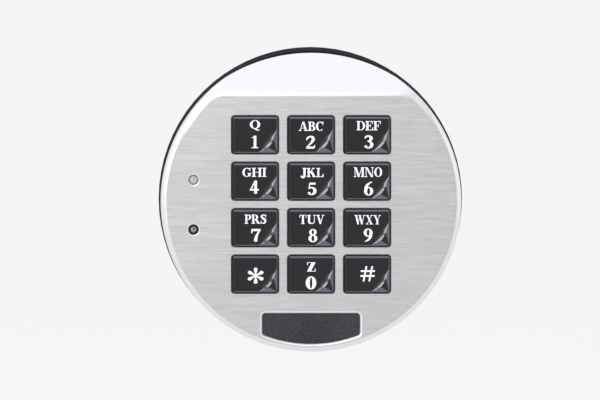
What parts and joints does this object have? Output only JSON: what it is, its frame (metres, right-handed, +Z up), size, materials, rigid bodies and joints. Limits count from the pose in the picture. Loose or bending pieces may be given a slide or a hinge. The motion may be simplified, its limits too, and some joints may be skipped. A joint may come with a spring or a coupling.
{
  "type": "electronic safe lock",
  "caption": "Round keypad unit of an electronic safe lock: brushed metal front with a sloped top facet, push keys, two indicator lights and a battery drawer in the underside.",
  "frame": {"origin": "centre of the base plate's flat back, where it meets the safe door", "axes": "+Z up the door, +Y into the door, and the keys face -Y; +X is to the right as the user sees the keypad"},
  "size_m": [0.1046, 0.0406, 0.1046],
  "materials": {
    "brushed_metal": "satin, brushed from side to side",
    "black_plastic": "satin moulded",
    "gloss_black": "gloss moulded",
    "matte_black": "fine texture",
    "steel": "zinc plated",
    "spring_brass": "rolled strip",
    "silicone": "matt",
    "board_green": "solder mask",
    "battery_jacket": "printed metal jacket",
    "clear_lens": "clear",
    "dark_lens": "dark tint",
    "cream_plastic": "moulded"
  },
  "bodies": {
    "lock_body": {"base_plate": "black_plastic", "rear_housing": "black_plastic", "inner_frame": "black_plastic", "front_bezel": "brushed_metal", "nameplate": "matte_black", "key_mat": "silicone", "circuit_board": "board_green", "controller_chip": "gloss_black", "capacitor": "battery_jacket", "buzzer": "gloss_black", "cable_socket": "cream_plastic", "led_upper": "clear_lens", "led_lower": "dark_lens", "contact_block": "cream_plastic", "contact_positive": "spring_brass", "contact_negative": "spring_brass", "bezel_screw_1": "steel", "bezel_screw_2": "steel", "bezel_screw_3": "steel", "bezel_screw_4": "steel", "board_screw_1": "steel", "board_screw_2": "steel", "board_screw_3": "steel", "board_screw_4": "steel", "set_screw_left": "steel", "set_screw_right": "steel"},
    "drawer_body": {"battery_drawer": "black_plastic", "battery": "battery_jacket"},
    "key_1_body": {"key_1": "gloss_black"},
    "key_2_body": {"key_2": "gloss_black"},
    "key_3_body": {"key_3": "gloss_black"},
    "key_4_body": {"key_4": "gloss_black"},
    "key_5_body": {"key_5": "gloss_black"},
    "key_6_body": {"key_6": "gloss_black"},
    "key_7_body": {"key_7": "gloss_black"},
    "key_8_body": {"key_8": "gloss_black"},
    "key_9_body": {"key_9": "gloss_black"},
    "key_star_body": {"key_star": "gloss_black"},
    "key_0_body": {"key_0": "gloss_black"},
    "key_hash_body": {"key_hash": "gloss_black"}
  },
  "joints": [
    {"name": "drawer_slide", "type": "slide", "parent": "lock_body", "child": "drawer_body", "axis": [0, 0, -1], "range_m": [0, 0.045]},
    {"name": "key_1_press", "type": "slide", "parent": "lock_body", "child": "key_1_body", "axis": [0, 1, 0], "range_m": [0, 0.0012], "stiffness_N_per_m": 600, "springref_m": -0.0008, "deforming": ["key_mat"]},
    {"name": "key_2_press", "type": "slide", "parent": "lock_body", "child": "key_2_body", "axis": [0, 1, 0], "range_m": [0, 0.0012], "stiffness_N_per_m": 600, "springref_m": -0.0008, "deforming": ["key_mat"]},
    {"name": "key_3_press", "type": "slide", "parent": "lock_body", "child": "key_3_body", "axis": [0, 1, 0], "range_m": [0, 0.0012], "stiffness_N_per_m": 600, "springref_m": -0.0008, "deforming": ["key_mat"]},
    {"name": "key_4_press", "type": "slide", "parent": "lock_body", "child": "key_4_body", "axis": [0, 1, 0], "range_m": [0, 0.0012], "stiffness_N_per_m": 600, "springref_m": -0.0008, "deforming": ["key_mat"]},
    {"name": "key_5_press", "type": "slide", "parent": "lock_body", "child": "key_5_body", "axis": [0, 1, 0], "range_m": [0, 0.0012], "stiffness_N_per_m": 600, "springref_m": -0.0008, "deforming": ["key_mat"]},
    {"name": "key_6_press", "type": "slide", "parent": "lock_body", "child": "key_6_body", "axis": [0, 1, 0], "range_m": [0, 0.0012], "stiffness_N_per_m": 600, "springref_m": -0.0008, "deforming": ["key_mat"]},
    {"name": "key_7_press", "type": "slide", "parent": "lock_body", "child": "key_7_body", "axis": [0, 1, 0], "range_m": [0, 0.0012], "stiffness_N_per_m": 600, "springref_m": -0.0008, "deforming": ["key_mat"]},
    {"name": "key_8_press", "type": "slide", "parent": "lock_body", "child": "key_8_body", "axis": [0, 1, 0], "range_m": [0, 0.0012], "stiffness_N_per_m": 600, "springref_m": -0.0008, "deforming": ["key_mat"]},
    {"name": "key_9_press", "type": "slide", "parent": "lock_body", "child": "key_9_body", "axis": [0, 1, 0], "range_m": [0, 0.0012], "stiffness_N_per_m": 600, "springref_m": -0.0008, "deforming": ["key_mat"]},
    {"name": "key_star_press", "type": "slide", "parent": "lock_body", "child": "key_star_body", "axis": [0, 1, 0], "range_m": [0, 0.0012], "stiffness_N_per_m": 600, "springref_m": -0.0008, "deforming": ["key_mat"]},
    {"name": "key_0_press", "type": "slide", "parent": "lock_body", "child": "key_0_body", "axis": [0, 1, 0], "range_m": [0, 0.0012], "stiffness_N_per_m": 600, "springref_m": -0.0008, "deforming": ["key_mat"]},
    {"name": "key_hash_press", "type": "slide", "parent": "lock_body", "child": "key_hash_body", "axis": [0, 1, 0], "range_m": [0, 0.0012], "stiffness_N_per_m": 600, "springref_m": -0.0008, "deforming": ["key_mat"]}
  ]
}
